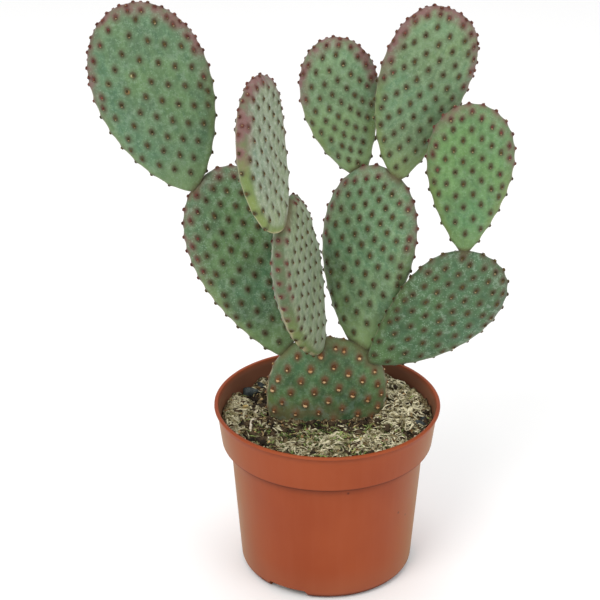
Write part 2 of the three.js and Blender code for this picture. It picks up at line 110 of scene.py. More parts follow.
# What PADS gives for each pad: its CAD form, its lattice of areoles (one areole's place, the two
# steps to its neighbours, taper, arch and stretch) and its looks. `line` is a painted highlight,
# a pale line on the lower rims, `warm` their yellow, `relief` the height of the swellings, and the
# last share is painted light at the foot.
FORM = "on foot length width thick lean bend turn tip cup low high".split()
LOOKS = "slot skin shade flush dust speckle line tuft felt warm relief pale_foot".split()
PADS = {
    "pad_base": (
        (None, (-7.5, 6, 53), 75, 63.5, 16, 9.5, 0, 0, 4, 0, 0.55, 0.4),
        ((1.4, 42), (-8.2, 3.4), (3.8, 7.9), 0, 6, 1.5),
        ("skin_base", (81, 113, 72), (56, 81, 49), 0.15, 0.1, 0.4, 1, 1.25, 0.64, 0.5, 0.6, 0.5),
    ),
    "pad_lower_left": (
        ("pad_base", (-22, 11.5, 114.5), 113.5, 57.5, 13, -18.5, -8, 18, 6, 0, 0.85, 0.5),
        ((3.6, 60), (-6.2, 6.1), (5.9, 5.9), 0, 5, -4),
        ("skin_deep", (90, 120, 84), (70, 95, 66), 0.7, 0.15, 0.8, 0.35, 1, 0.34, 0.4, 0.8, 0.5),
    ),
    "pad_top_left": (
        ("pad_lower_left", (-68.5, 6.5, 212), 101.5, 59, 11, -17.5, 7, 4, 4, 0, 0.75, 0.5),
        ((-4.5, 55.5), (5.5, 7), (-1.9, 11.6), 0.35, 5.5, 1),
        ("skin_mid", (90, 119, 86), (75, 101, 73), 1.1, 0.2, 0.5, 0.4, 0.92, 0.4, 0.4, 0.8, 0.25),
    ),
    "pad_lower_front": (
        ("pad_base", (-3, 5, 123.3), 103, 56, 12, -22, 0, 75, 5.3, 2.1, 0.63, 0.44),
        ((-3, 55.3), (5.2, 4.2), (-3, 10.1), -0.2, 3.5, -2),
        ("skin_grey", (116, 131, 100), (98, 112, 82), 0.25, 0.75, 0.45, 0.8, 0.86, 0.4, 0.6, 0.45, 0),
    ),
    "pad_upper_front": (
        ("pad_lower_front", (-24.7, -45.5, 212), 76, 47.5, 9.7, 20, 8, 69.5, 14, 3.9, 0.42, 0.42),
        ((-0.9, 40.6), (-5.2, 3.7), (5, 6.4), 0.1, 5, -1),
        ("skin_grey", (130, 143, 121), (116, 128, 105), 1.5, 0.9, 0.3, 0.8, 0.82, 0.44, 0.8, 0.75, 0),
    ),
    "pad_lower_mid": (
        ("pad_base", (18.5, 12, 113.5), 108, 50.5, 12.5, 3, 15, -20, 6, 0, 0.9, 0.5),
        ((3.7, 61), (6.6, 4.9), (1.6, 10), -0.3, 4.5, -3.5),
        ("skin_deep", (105, 133, 94), (85, 109, 76), 0.6, 0.2, 0.6, 0.35, 0.94, 0.36, 0.4, 0.8, 0.8),
    ),
    "pad_upper_mid": (
        ("pad_lower_mid", (18.5, 28.5, 209.5), 76.5, 40.5, 10, -11, 33, -6, 8, 0, 0.9, 0.5),
        ((1.2, 43.5), (-4, 4.3), (6.9, 2.5), 0, 5, 3),
        ("skin_mid", (104, 131, 94), (86, 111, 78), 1.3, 0.25, 0.5, 0.35, 0.84, 0.42, 0.5, 0.8, 0.65),
    ),
    "pad_top_mid": (
        ("pad_lower_mid", (35, 18, 213.5), 93, 45.5, 10, 17, 20, 6, 2, 0, 0.75, 0.4),
        ((-0.3, 48.5), (3.8, 5.9), (-4.3, 6.8), -0.1, 8.5, 1.5),
        ("skin_mid", (105, 130, 93), (87, 111, 79), 1.3, 0.25, 0.4, 0.3, 0.88, 0.4, 0.6, 0.8, 0.2),
    ),
    "pad_lower_right": (
        ("pad_base", (20.5, 7, 114.5), 90, 49.5, 12, 43.5, -23, 0, -6, 0, 0.85, 0.45),
        ((1, 48), (7, 3.3), (1.1, 9.1), 0.1, 3.5, -2.5),
        ("skin_deep", (69, 101, 68), (55, 82, 52), 0.25, 0.15, 0.85, 0.35, 0.98, 0.4, 0.3, 0.8, 0.8),
    ),
    "pad_upper_right": (
        ("pad_lower_right", (69.5, 2, 178.5), 82, 43.5, 10, 2, 4, -5, 2, 0, 0.95, 0.5),
        ((1.5, 48.5), (3.9, 7), (-4.9, 5.1), 0.2, 5.5, -2.5),
        ("skin_fresh", (92, 127, 81), (78, 109, 65), 0.7, 0.1, 0.35, 0.3, 0.86, 0.42, 0.5, 0.8, 0.15),
    ),
}


# Helpers


def linear(rgb):
    """An sRGB colour, 0 to 255, as Blender's linear colour."""
    shares = (min(c, 255) / 255 for c in rgb)
    return (*(c / 12.92 if c <= 0.04045 else ((c + 0.055) / 1.055) ** 2.4 for c in shares), 1)


def smooth(x, low, high):
    t = np.clip((x - low) / (high - low), 0, 1)
    return t * t * (3 - 2 * t)


def unit(way):
    return way / np.linalg.norm(way)


class Shader:
    """A short way to build a node material: colours are laid over each other, then finished."""

    def __init__(self, name):
        self.material = bpy.data.materials.new(name)
        self.material.use_nodes = True
        self.tree = self.material.node_tree
        self.main = self.tree.nodes["Principled BSDF"]
        self.place = self.add("TexCoord", "Object")

    def add(self, kind, output, inputs=(), **settings):
        """Adds a node and returns one of its outputs."""
        node = self.tree.nodes.new("ShaderNode" + kind)
        for key, value in settings.items():
            setattr(node, key, value)
        for key, value in dict(inputs).items():
            self.put(node.inputs[key], value)
        return node.outputs[output]

    def put(self, socket, value):
        if isinstance(value, bpy.types.NodeSocket):
            self.tree.links.new(value, socket)
        else:
            socket.default_value = value

    def noise(self, scale, detail=2.0, rough=0.5, place=None):
        inputs = {"Scale": scale, "Detail": detail, "Roughness": rough}
        inputs["Vector"] = self.place if place is None else place
        return self.add("TexNoise", "Fac", inputs)

    def value_of(self, name):
        return self.add("Attribute", "Fac", attribute_name=name)

    def axis(self, letter, vector=None):
        vector = self.place if vector is None else vector
        return self.add("SeparateXYZ", letter, {"Vector": vector})

    def distance_to(self, at):
        inputs = {0: self.place, 1: [c * MM for c in at]}
        return self.add("VectorMath", "Value", inputs, operation="DISTANCE")

    def facing(self, blend):
        return self.add("LayerWeight", "Facing", {"Blend": blend})

    def span(self, value, low, high, to_low=0.0, to_high=1.0):
        names = ("Value", "From Min", "From Max", "To Min", "To Max")
        inputs = zip(names, (value, low, high, to_low, to_high))
        return self.add("MapRange", "Result", inputs, interpolation_type="SMOOTHSTEP")

    def math(self, operation, a, b=0.0):
        return self.add("Math", 0, {0: a, 1: b}, operation=operation)

    def times(self, *factors):
        """The product of factors: numbers, outputs, or tuples for span."""
        first, *others = (self.span(*f) if isinstance(f, tuple) else f for f in factors)
        for other in others:
            first = self.math("MULTIPLY", first, other)
        return first

    def mix(self, factor, *colours):
        """Mixes two colours, each an output or sRGB, 0 to 255."""
        a, b = (linear(c) if isinstance(c, tuple) else c for c in colours)
        inputs = {"Factor": self.times(factor), "A": a, "B": b}
        return self.add("Mix", "Result", inputs, data_type="RGBA")

    def start(self, factor, dark, light):
        self.base = light
        self.colour = self.mix(factor, dark, light)

    def coat(self, over, *factors):
        """Lays a colour over the last one, by the product of the factors."""
        self.colour = self.mix(self.times(*factors), self.colour, over)

    def tint(self, scales, *factors):
        """Lays the start's light colour over the last one, with its channels scaled."""
        self.coat(tuple(c * k for c, k in zip(self.base, scales)), *factors)

    def bump(self, height, distance, strength=1.0, onto=None):
        inputs = {"Height": height, "Distance": distance, "Strength": strength}
        if onto is not None:
            inputs["Normal"] = onto
        return self.add("Bump", "Normal", inputs)

    def finish(self, roughness, normal=None, specular=0.5):
        self.put(self.main.inputs["Base Color"], self.colour)
        self.put(self.main.inputs["Roughness"], roughness)
        self.main.inputs["Specular IOR Level"].default_value = specular
        if normal is not None:
            self.put(self.main.inputs["Normal"], normal)
        return self.material


def mesh_of(name, verts, faces):
    """A mesh from points in millimetres."""
    mesh = bpy.data.meshes.new(name)
    mesh.from_pydata((np.asarray(verts) * MM).tolist(), [], faces)
    return mesh


def placed(name, data):
    """A new object in the scene."""
    made = bpy.data.objects.new(name, data)
    bpy.context.scene.collection.objects.link(made)
    return made


def make_object(name, verts, faces, materials, values=None, face_slots=None):
    """A mesh object that rides on the root. Vertices are in millimetres."""
    mesh = mesh_of(name, verts, faces)
    for key, array in (values or {}).items():
        attribute = mesh.attributes.new(key, "FLOAT", "POINT")
        attribute.data.foreach_set("value", np.asarray(array, dtype=np.float32))
    for material in materials:
        mesh.materials.append(material)
    if face_slots is not None:
        mesh.polygons.foreach_set("material_index", np.asarray(face_slots, dtype=np.int32))
    mesh.polygons.foreach_set("use_smooth", np.ones(len(faces), dtype=bool))
    mesh.update()
    made = placed(name, mesh)
    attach(made, "root")
    return made


class Bits:
    """Gathers many small closed forms into one mesh, each with its material's number."""

    def __init__(self):
        self.verts, self.faces, self.slots, self.count = [], [], [], 0

    def add(self, points, faces, slot=0):
        self.verts.append(np.asarray(points, dtype=float))
        self.faces += [tuple(self.count + k for k in face) for face in faces]
        self.slots += [slot] * len(faces)
        self.count += len(points)

    def make(self, name, materials):
        verts = np.vstack(self.verts)
        make_object(name, verts, self.faces, materials, face_slots=self.slots)


def frame_at(way):
    """Two directions square to a given one."""
    a = unit(np.cross(np.eye(3)[2 if abs(way[2]) < 0.9 else 0], way))
    return a, np.cross(way, a)


def circle(sides):
    t = 2 * pi * np.arange(sides) / sides
    return np.cos(t)[:, None], np.sin(t)[:, None]


def joined_rings(rings, sides):
    """Quads between rings of points that follow each other."""
    faces = []
    for k in range(rings - 1):
        a, b = k * sides, (k + 1) * sides
        for i in range(sides):
            j = (i + 1) % sides
            faces.append((a + i, a + j, b + j, b + i))
    return faces


def closed_rings(rings, sides):
    """The same with a fan at each end, round the two points that follow the rings."""
    faces = joined_rings(rings, sides)
    centre, last = rings * sides, (rings - 1) * sides
    for i in range(sides):
        j = (i + 1) % sides
        faces += [(centre, j, i), (centre + 1, last + i, last + j)]
    return faces


def normals_of(verts, faces):
    """Vertex normals of a mesh of triangles and quads, weighted by area."""
    corners = np.array([(*f, f[-1])[:4] for f in faces])
    a, b, c, d = (verts[corners[:, k]] for k in range(4))
    cross = np.cross(c - a, d - b)
    quad = corners[:, 3] != corners[:, 2]
    out = np.zeros_like(verts)
    for k in range(4):
        np.add.at(out, corners[:, k], cross if k < 3 else cross * quad[:, None])
    return out / np.maximum(np.linalg.norm(out, axis=1, keepdims=True), 1e-12)


def smooth_waves(points, size, rng, count=9):
    """A sum of slow waves in space, about -1 to 1."""
    total = np.zeros(len(points))
    for _ in range(count):
        way = rng.normal(size=points.shape[-1])
        way *= 2 * pi / size / np.linalg.norm(way) * rng.uniform(0.7, 1.4)
        total += np.sin(points @ way + rng.uniform(0, 6.28))
    return total / sqrt(count)


# Camera


def make_camera():
    data = bpy.data.cameras.new("camera")
    data.lens = LENS
    data.sensor_width = SENSOR
    camera = placed("camera", data)
    camera.location = Vector(CAMERA_AT) * MM
    camera.rotation_euler = (radians(90 - CAMERA_DOWN), 0, radians(CAMERA_TURN))
    bpy.context.scene.camera = camera


make_camera()


# Pads


class PadShape:
    """A pad as formulas: v across, u along from the foot, h through the thickness."""

    def __init__(self, name, form, areoles, looks):
        vars(self).update(zip(FORM + LOOKS, form + looks), name=name, areoles=areoles)
        self.edge_on = self.turn > EDGE_ON
        self.maroon = self.edge_on or self.flush > YOUNG_FLUSH
        peak = self.low / (self.low + self.high)
        self.scale = 1 / (peak**self.low * (1 - peak) ** self.high)
        self.heart = self.length * HEART
        curve = radians(self.bend or 0.01)
        self.bow = curve / self.length
        self.start = radians(self.lean) - curve / 2
        cz, sz = cos(radians(self.turn)), sin(radians(self.turn))
        cx, sx = cos(radians(self.tip)), sin(radians(self.tip))
        upright = np.array([[cz, -sz, 0], [sz, cz, 0], [0, 0, 1]])
        self.spin = upright @ np.array([[1, 0, 0], [0, cx, sx], [0, -sx, cx]])
        angle = np.linspace(0, 2 * pi, 481)[:-1]
        u = self.length * (1 - np.cos(angle)) / 2
        v = np.where(angle < pi, 1.0, -1.0) * self.half_width(u)
        self.edge = np.stack([v, u], 1)
        steps = np.linalg.norm(np.roll(self.edge, -1, 0) - self.edge, axis=1)
        self.walk = np.append(0, np.cumsum(steps))
        self.polar = np.arctan2(v, self.heart - u)
        self.reaches = np.hypot(v, u - self.heart)

    def half_width(self, u):
        t = np.clip(u / self.length, 0, 1)
        return self.width / 2 * self.scale * t**self.low * (1 - t) ** self.high

    def on_edge(self, s):
        """Places on the outline, by the length along it from the foot."""
        starts, whole = self.walk[:-1], self.walk[-1]
        return np.stack([np.interp(s, starts, line, period=whole) for line in self.edge.T], -1)

    def reach(self, v, u):
        """How far the outline is from the heart, in a place's direction."""
        angle = np.arctan2(v, self.heart - u)
        return np.interp(angle, self.polar, self.reaches, period=2 * pi)

    def share(self, v, u):
        return np.hypot(v, u - self.heart) / self.reach(v, u)

    def half_thick(self, share, u):
        slim = 0.86 + 0.14 * smooth(u / self.length, 0, 0.4)
        return self.thick / 2 * slim * np.sqrt(np.maximum(0, 1 - np.minimum(share, 1) ** 5))

    def world(self, v, u, h):
        angle = self.start + self.bow * u
        x = (cos(self.start) - np.cos(angle)) / self.bow + v * np.cos(angle)
        z = (np.sin(angle) - sin(self.start)) / self.bow - v * np.sin(angle)
        t = u / self.length
        y = h + self.cup * 4 * t * (1 - t)
        return np.stack([x, y, z], -1) @ self.spin.T + self.foot

    def flat(self, points):
        p = (np.asarray(points) - self.foot) @ self.spin
        x = p[..., 0] - cos(self.start) / self.bow
        z = p[..., 2] + sin(self.start) / self.bow
        arm = -copysign(1, self.bow) * np.hypot(x, z)
        u = (np.arctan2(-z / arm, x / arm) - self.start) / self.bow
        t = u / self.length
        return arm + 1 / self.bow, u, p[..., 1] - self.cup * 4 * t * (1 - t)

    def on_skin(self, v, u, side):
        return self.world(v, u, side * self.half_thick(self.share(v, u), u))

    def holds(self, points, margin):
        """True for points in the pad or closer to it than a margin."""
        v, u, h = self.flat(points)
        out = np.hypot(v, u - self.heart) / (self.reach(v, u) + margin)
        return (out < 1) & (np.abs(h) < self.half_thick(out, u) + margin)


SHAPES = {name: PadShape(name, *rows) for name, rows in PADS.items()}
BASE = SHAPES["pad_base"]


def is_bare(shape, point):
    """True where an areole would sit on another pad or down in the soil."""
    if shape is BASE and point[2] < BURIED_LEVEL:
        return True
    others = (other for other in SHAPES.values() if other is not shape)
    return any(other.holds(point, BARE_MARGIN) for other in others)


def seeded(seed):
    """The CAD's random numbers, so that areoles fall in the same places."""
    while True:
        seed = seed * 16807 % 2147483647
        yield seed / 2147483647


def rim_places(shape):
    """Places of the rim's areoles along the outline: close at the tip, wider near the foot."""
    length = shape.walk[-1]
    places = []
    for way in (-1, 1):
        s = length / 2 + way * TIP_PITCH / 2
        while abs(s - length / 2) < length / 2 - FOOT_CLEAR:
            places.append(s)
            level = shape.on_edge(s)[1] / shape.length
            s += way * (FOOT_PITCH + (TIP_PITCH - FOOT_PITCH) * level)
    return np.array(sorted(places))


def rim_gaps(shape):
    """Places midway between the rim's areoles."""
    places = rim_places(shape)
    return (places[1:] + places[:-1]) / 2


def face_areoles(shape, side):
    """Places of one face's areoles: the CAD's lattice, then its nodes closer to the rim."""
    start, one, two, taper, arch, stretch = shape.areoles
    draws = seeded(len(shape.name) * 101 + round(shape.width * 10) + side)
    steps = range(-LATTICE_STEPS, LATTICE_STEPS + 1)
    found, near_rim = [], []

    def is_free(v, u, gap):
        return all(hypot(a - v, b - u) > gap for a, b in found)

    for i in steps:
        for j in steps:
            across, along = (start[k] + i * one[k] + j * two[k] for k in (0, 1))
            wide = across / (shape.width / 2)
            level = along / shape.length - HEART
            if abs(wide) > 1.3 or abs(level) > 0.8:
                continue
            v = across * (1 + taper * level) + (next(draws) - 0.5) * SCATTER
            lift = arch * wide**2 + 10 * stretch * level**2
            u = along + lift + (next(draws) - 0.5) * SCATTER
            if u < FOOT_CLEAR or u > shape.length:
                continue
            share = float(shape.share(v, u))
            gap = shape.reach(v, u) * (1 - share)
            if u > shape.length - RIM_CLEAR or share > RIM_SHARE or gap < RIM_CLEAR:
                if gap > EDGE_CLEAR:
                    near_rim.append((v, u))
            elif is_free(v, u, APART):
                found.append((v, u))
    teeth = shape.on_edge(rim_places(shape))
    for v, u in near_rim:
        clear = np.hypot(teeth[:, 0] - v, teeth[:, 1] - u).min() > TOOTH_CLEAR
        if clear and is_free(v, u, APART):
            found.append((v, u))
    for v, u in shape.on_edge(rim_gaps(shape)):
        inward = unit(np.array([-v, shape.heart - u]))
        v, u = np.array([v, u]) + inward * (SECOND_ROW + next(draws) - 0.5)
        if u > 0.3 * shape.length and is_free(v, u, ROW_CLEAR):
            found.append((v, u))
    return found


def rim_line(shape, s):
    """The direction of the rim at a place along the outline."""
    before, after = (shape.world(*shape.on_edge(s + d), 0) for d in (-0.4, 0.4))
    return unit(after - before)


def areoles_of(shape):
    """Every areole: its place on the skin, outward direction, direction to the tip, on the rim."""
    through = shape.spin[:, 1]
    out = []
    for side in (-1, 1):
        for v, u in face_areoles(shape, side):
            at = shape.on_skin(v, u, side)
            along = shape.on_skin(v, u + 0.5, side) - shape.on_skin(v, u - 0.5, side)
            across = shape.on_skin(v + 0.5, u, side) - shape.on_skin(v - 0.5, u, side)
            way = unit(np.cross(across, along))
            way *= copysign(1, side * (way @ through))
            out.append((at, way, unit(along), False))
    for s in rim_places(shape):
        at = shape.world(*shape.on_edge(s), 0)
        along = rim_line(shape, s)
        way = unit(np.cross(through, along))
        way *= copysign(1, way @ (at - shape.world(0, shape.heart, 0)))
        out.append((at, way, along, True))
    return [spot for spot in out + between_teeth(shape) if not is_bare(shape, spot[0])]


def between_teeth(shape):
    """Areoles on the shoulders of a young pad's top rim, midway between its own."""
    if shape.flush < 1:
        return []
    out = []
    side = 1
    for s in rim_gaps(shape):
        v, u = shape.on_edge(s)
        if u < SHOULDER_FROM * shape.length:
            continue
        side = -side
        v, u = v * SHOULDER_SHARE, shape.heart + (u - shape.heart) * SHOULDER_SHARE
        at = shape.on_skin(v, u, side)
        along = rim_line(shape, s)
        way = unit(at - shape.world(0, shape.heart, 0)) + 0.7 * side * shape.spin[:, 1]
        out.append((at, unit(way - (way @ along) * along), along, True))
    return out


def ring_shares(shape):
    """How far out each ring of the skin lies, evenly spaced along the curved section."""
    r = np.linspace(0, 1, 2001)
    x = r * shape.width * 0.62
    y = shape.thick / 2 * np.sqrt(1 - r**5)
    walk = np.append(0, np.cumsum(np.hypot(np.diff(x), np.diff(y))))
    count = int(walk[-1] / RING_STEP)
    return np.interp(np.linspace(0, walk[-1], count + 1)[1:], walk, r)


def closeness(shape, points):
    """How near the pad below or above comes: 1 where they touch and 0 from 2.4 mm away."""
    near = np.zeros(len(points))
    for other in SHAPES.values():
        if other.name == shape.on or other.on == shape.name:
            for margin, value in ((2.4, 0.3), (1.6, 0.65), (0.9, 1)):
                near = np.maximum(near, value * other.holds(points, margin))
    return near


def make_skin(shape, spots, rng):
    """The pad's skin as one closed fine mesh. Returns how far it swells under each areole."""
    front = ring_shares(shape)
    rings = np.append(front, front[-2::-1])
    side = np.where(np.arange(len(rings)) < len(front), -1, 1)
    edge = shape.on_edge(np.arange(AROUND) * shape.walk[-1] / AROUND)
    v = np.append(np.outer(rings, edge[:, 0]), [0, 0])
    u = shape.heart + np.append(np.outer(rings, edge[:, 1] - shape.heart), [0, 0])
    share = np.append(np.repeat(rings, AROUND), [0, 0])
    side = np.append(np.repeat(side, AROUND), [-1, 1])
    verts = shape.world(v, u, side * shape.half_thick(share, u))
    faces = [tuple(reversed(f)) for f in closed_rings(len(rings), AROUND)]
    normal = normals_of(verts, faces)
    # `hood` is measured from a little towards each areole's tip: its dark patch is partly painted
    # shadow.
    apart, hood, tooth = np.full((3, len(verts)), 1e3)
    nearest = []
    for at, _, tipward, on_rim in spots:
        away = verts - at
        distance = np.linalg.norm(away, axis=1)
        nearest.append(distance.argmin())
        apart = np.minimum(apart, distance)
        if on_rim:
            tooth = np.minimum(tooth, distance)
        else:
            away = away - 0.4 * tipward
            away = away - 0.25 * (away @ tipward)[:, None] * tipward
        hood = np.minimum(hood, np.linalg.norm(away, axis=1))
    gap = shape.reach(v, u) * (1 - share)
    wave = 0.3 * smooth_waves(verts, SKIN_WAVE, rng)
    swell = shape.relief * (np.exp(-((apart / 3.4) ** 2)) - 0.48) + wave
    swell *= smooth(gap, 0.8, 5.0)
    swell += 0.42 * np.exp(-((apart / 1.5) ** 2)) + 0.3 * np.exp(-((tooth / 2.3) ** 2))
    verts = verts + normal * swell[:, None]
    values = {
        "areole": apart, "hood": hood, "rim": gap, "along": u / shape.length,
        "grain_v": v, "grain_u": u, "touch": closeness(shape, verts),
    }
    name = shape.name + "_skin"
    made = make_object(name, verts, faces, [skin_material(shape)], values)
    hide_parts(shape.name)
    return swell[nearest]


# Healed scars seen in the photo: pad, place, radius, colour.
SCARS = (
    ("pad_top_left", (-97.1, 3.4, 274.5), 0.7, (196, 188, 134)),
    ("pad_top_left", (-99.6, 2.7, 266.2), 1, (140, 108, 56)),
    ("pad_top_left", (-108.8, 2.7, 270.2), 0.6, (180, 174, 126)),
    ("pad_base", (31.1, 6.2, 92.7), 1.2, (150, 154, 132)),
)


def add_scars(s, name):
    """A dull ring and a paler spot for each of the pad's scars."""
    for pad, at, radius, colour in SCARS:
        if pad == name:
            away = s.math("ADD", s.distance_to(at), s.times(s.noise(500, 2), 0.0012))
            s.coat((84, 84, 46), (away, (radius + 2) * MM, (radius + 1) * MM), 0.5)
            s.coat(colour, (away, (radius + 1.1) * MM, (radius + 0.3) * MM), 0.8)


def mottle_skin(s, shape):
    """Green in patches and streaks along the pad, with painted light and shade on its relief and rim.
    """
    s.start((s.broad, 0.38, 0.62), shape.shade, shape.skin)
    s.tint((1.14, 1.13, 0.84), (s.patch, 0.5, 0.62), 0.2 if shape.edge_on else 0.36)
    s.tint((0.78, 0.95, 1), (s.patch, 0.5, 0.38), 0.5)
    # Faint streaks; the darker ones are painted shade, as in shallow channels between the rows of
    # areoles.
    grain = {"X": s.value_of("grain_v"), "Y": s.times(s.value_of("grain_u"), 0.16)}
    streak = s.noise(0.26, 3, 0.6, s.add("CombineXYZ", "Vector", grain))
    s.tint((0.66, 0.78, 0.76), (streak, 0.5, 0.36), (s.apart, 2.5, 4.5), 0.5)
    s.tint((1.2, 1.16, 1.1), (streak, 0.54, 0.68), 0.3)
    mottle = 0.85 if shape.edge_on else 0.5
    s.tint((1.22, 1.18, 1.24), (s.fine, 0.5, 0.64), mottle)
    s.tint((0.76, 0.84, 0.72), (s.fine, 0.48, 0.36), mottle)
    # Painted highlight: paler ridges round the areoles.
    s.tint((1.26, 1.2, 1.2), (s.apart, 5, 3), 0.22)
    # Painted shade: darker at the rim, more on a pad seen edge on, and most low down on such a pad.
    s.tint((0.6, 0.73, 0.55), (s.rim, 3.4, 1), 0.9 if shape.edge_on else 0.35)
    if shape.edge_on:
        s.tint((0.38, 0.62, 0.43), (s.rim, 4, 1.2), (s.along, 0.8, 0.45), 0.85)


def colour_rims(s, shape):
    """Yellow-green low down, a purple flush on the top rim and a thin pale painted highlight below.
    """
    foot = s.times((s.along, 0.26, 0.03), 0.3 if shape.edge_on else 1)
    low_rim = s.times((s.rim, 6, 0.5), (s.along, 0.7, 0.4))
    low = s.math("MAXIMUM", foot, low_rim)
    s.coat((124, 137, 69), low, (s.patch, 0.3, 0.6, 0.6, 1), shape.warm)
    # Painted light: paler near the foot.
    s.tint((1.3, 1.22, 1.12), (s.along, 0.32, 0.08), shape.pale_foot)
    # The flush is uneven, and deepest round the areoles.
    uneven = (s.noise(95, 3, 0.6), 0.34, 0.62, 0.25, 1)
    close = (s.apart, 4.6, 1.5, 0.45, 1)
    s.coat((118, 86, 83), s.young, uneven, close, shape.flush)
    # Painted highlight: a thin pale line along the lower rims at a grazing angle.
    edge = s.times((s.grazing, 0.32, 0.66), (s.rim, 1.6, 0.2))
    s.coat((190, 170, 132), edge, (s.along, 0.9, 0.6), 0.8 * shape.line)


def colour_areoles(s, shape):
    """A halo and a dark patch round each areole, a little towards the tip, partly painted shadow:
    maroon near the top.
    """
    ragged = s.math("SUBTRACT", s.times(s.noise(700, 2), 1.4), 0.7)
    spread = s.math("DIVIDE", s.math("ADD", s.value_of("hood"), ragged), shape.tuft)
    halo, core = (86, 72, 44), (98, 66, 38)
    if shape is not BASE:
        reddened = s.times(s.young, 1 if shape.maroon else 0.3)
        halo = s.mix(reddened, (68, 72, 42), (104, 68, 58))
        core = s.mix(reddened, (62, 54, 29), (82, 47, 38))
    s.coat(halo, (spread, 3.5, 1.2), 0.55)
    s.coat(core, (spread, 2, 0.9), 0.85)


def stain_base(s):
    """The oldest pad: earth stains and a dull haze low down, and a warmer top rim."""
    height = s.axis("Z")
    s.coat((96, 78, 48), (height, 0.097, 0.086), (s.broad, 0.36, 0.6), 0.7)
    s.coat((118, 124, 80), (s.rim, 5, 1), (s.along, 0.6, 0.85), 0.4)
    s.coat((120, 144, 132), (height, 0.108, 0.09), (s.noise(160, 3, 0.7), 0.5, 0.62), 0.25)


def skin_material(shape):
    """Waxy skin: mottled green, darker round each areole, flushed rims and pale speckle."""
    s = Shader(shape.name + "_skin")
    s.along, s.rim, s.apart = (s.value_of(name) for name in ("along", "rim", "areole"))
    s.broad, s.patch, s.fine = s.noise(52, 4, 0.65), s.noise(24, 3, 0.55), s.noise(420, 4, 0.7)
    s.grazing = s.facing(0.35)
    top = s.span(s.along, 0.34, 0.54) if shape.edge_on else s.span(s.along, 0.42, 0.74)
    s.young = s.times(top, (s.rim, 8, 0.8))
    mottle_skin(s, shape)
    colour_rims(s, shape)
    colour_areoles(s, shape)
    # Tiny pale flecks, and corky brown where pads meet.
    cells = s.add("TexVoronoi", "Distance", {"Vector": s.place, "Scale": 860})
    fleck = s.times((cells, 0.46, 0.1), (s.noise(210, 2, 0.7), 0.38, 0.6))
    cloud = s.times((s.noise(260, 4, 0.75), 0.52, 0.64), 0.7)
    pale = s.math("MAXIMUM", fleck, cloud)
    s.coat((146, 168, 146), pale, (s.apart, 1.6, 3), 0.6 * shape.speckle)
    s.coat((84, 66, 38), s.value_of("touch"), 0.7)
    if shape is BASE:
        stain_base(s)
    # Dusty bloom on the faces, with painted sheen that makes it stronger at a grazing angle.
    s.coat((164, 172, 154), (s.grazing, 0.35, 1), (s.rim, 1, 5), shape.dust)
    add_scars(s, shape.name)
    normal = s.bump(s.noise(2200, 2, 0.6), 0.00018, 0.5)
    normal = s.bump(s.noise(330, 3, 0.6), 0.0008, 0.6, normal)
    s.main.inputs["Sheen Weight"].default_value = 0.08
    s.main.inputs["Sheen Roughness"].default_value = 0.6
    return s.finish(s.span(s.fine, 0.3, 0.7, 0.48, 0.64), normal, 0.32)


def grained(name, dark, light, patches=150, grain=1500, roughness=0.85, left=0.0):
    """A dull material whose colour changes from one small place to the next."""
    s = Shader(name)
    fine = s.noise(grain, 3, 0.7)
    tone = s.math("ADD", s.times(s.noise(patches, 2, 0.5), 0.65), s.times(fine, 0.35))
    s.start((tone, 0.4, 0.6), dark, light)
    # Painted shade: darker towards the left.
    if left:
        s.coat(dark, (s.axis("X"), 0.04, -0.045), left)
    return s.finish(roughness, s.bump(fine, 0.0006, 0.8), 0.2)


# The areoles' materials, by number.
HOOD, FELT, BRISTLE, YOUNG_HOOD = range(4)
TUFT = (
    grained("areole_hood", (54, 46, 25), (84, 70, 38), 190),
    grained("areole_felt", (98, 84, 56), (164, 146, 108), 210),
    grained("areole_bristle", (50, 36, 22), (116, 86, 52), 900),
    grained("areole_hood_young", (76, 40, 34), (112, 66, 56), 190),
)
OLD_TUFT = (
    grained("areole_hood_old", (96, 62, 36), (126, 84, 50), 190),
    grained("areole_felt_old", (182, 136, 90), (226, 190, 142), 210),
    grained("areole_bristle_old", (84, 52, 32), (146, 100, 62), 900),
)


def add_cone(bits, foot, tip, radius, slot):
    """A closed three-sided cone."""
    a, b = frame_at(unit(tip - foot))
    c, s = circle(3)
    points = np.vstack([foot + radius * (c * a + s * b), tip])
    bits.add(points, [(0, 1, 3), (1, 2, 3), (2, 0, 3), (2, 1, 0)], slot)


def add_dome(bits, at, way, long, radius, height, rng, sides, slot, stretch):
    """A small uneven closed dome, its foot sunk in the skin, stretched along one direction."""
    across = np.cross(long, way)
    c, s = circle(sides)
    rings = []
    for level, wide in ((-0.5, 1.0), (0.3, 0.93), (0.78, 0.62)):
        out = radius * wide * rng.uniform(0.86, 1.14, (sides, 1))
        rings.append(at + way * level * height + out * (c * across + stretch * s * long))
    points = np.vstack([*rings, at + way * height])
    faces = joined_rings(3, sides)
    high = 2 * sides
    faces += [(high + k, high + (k + 1) % sides, 3 * sides) for k in range(sides)]
    faces.append(tuple(reversed(range(sides))))
    bits.add(points, faces, slot)


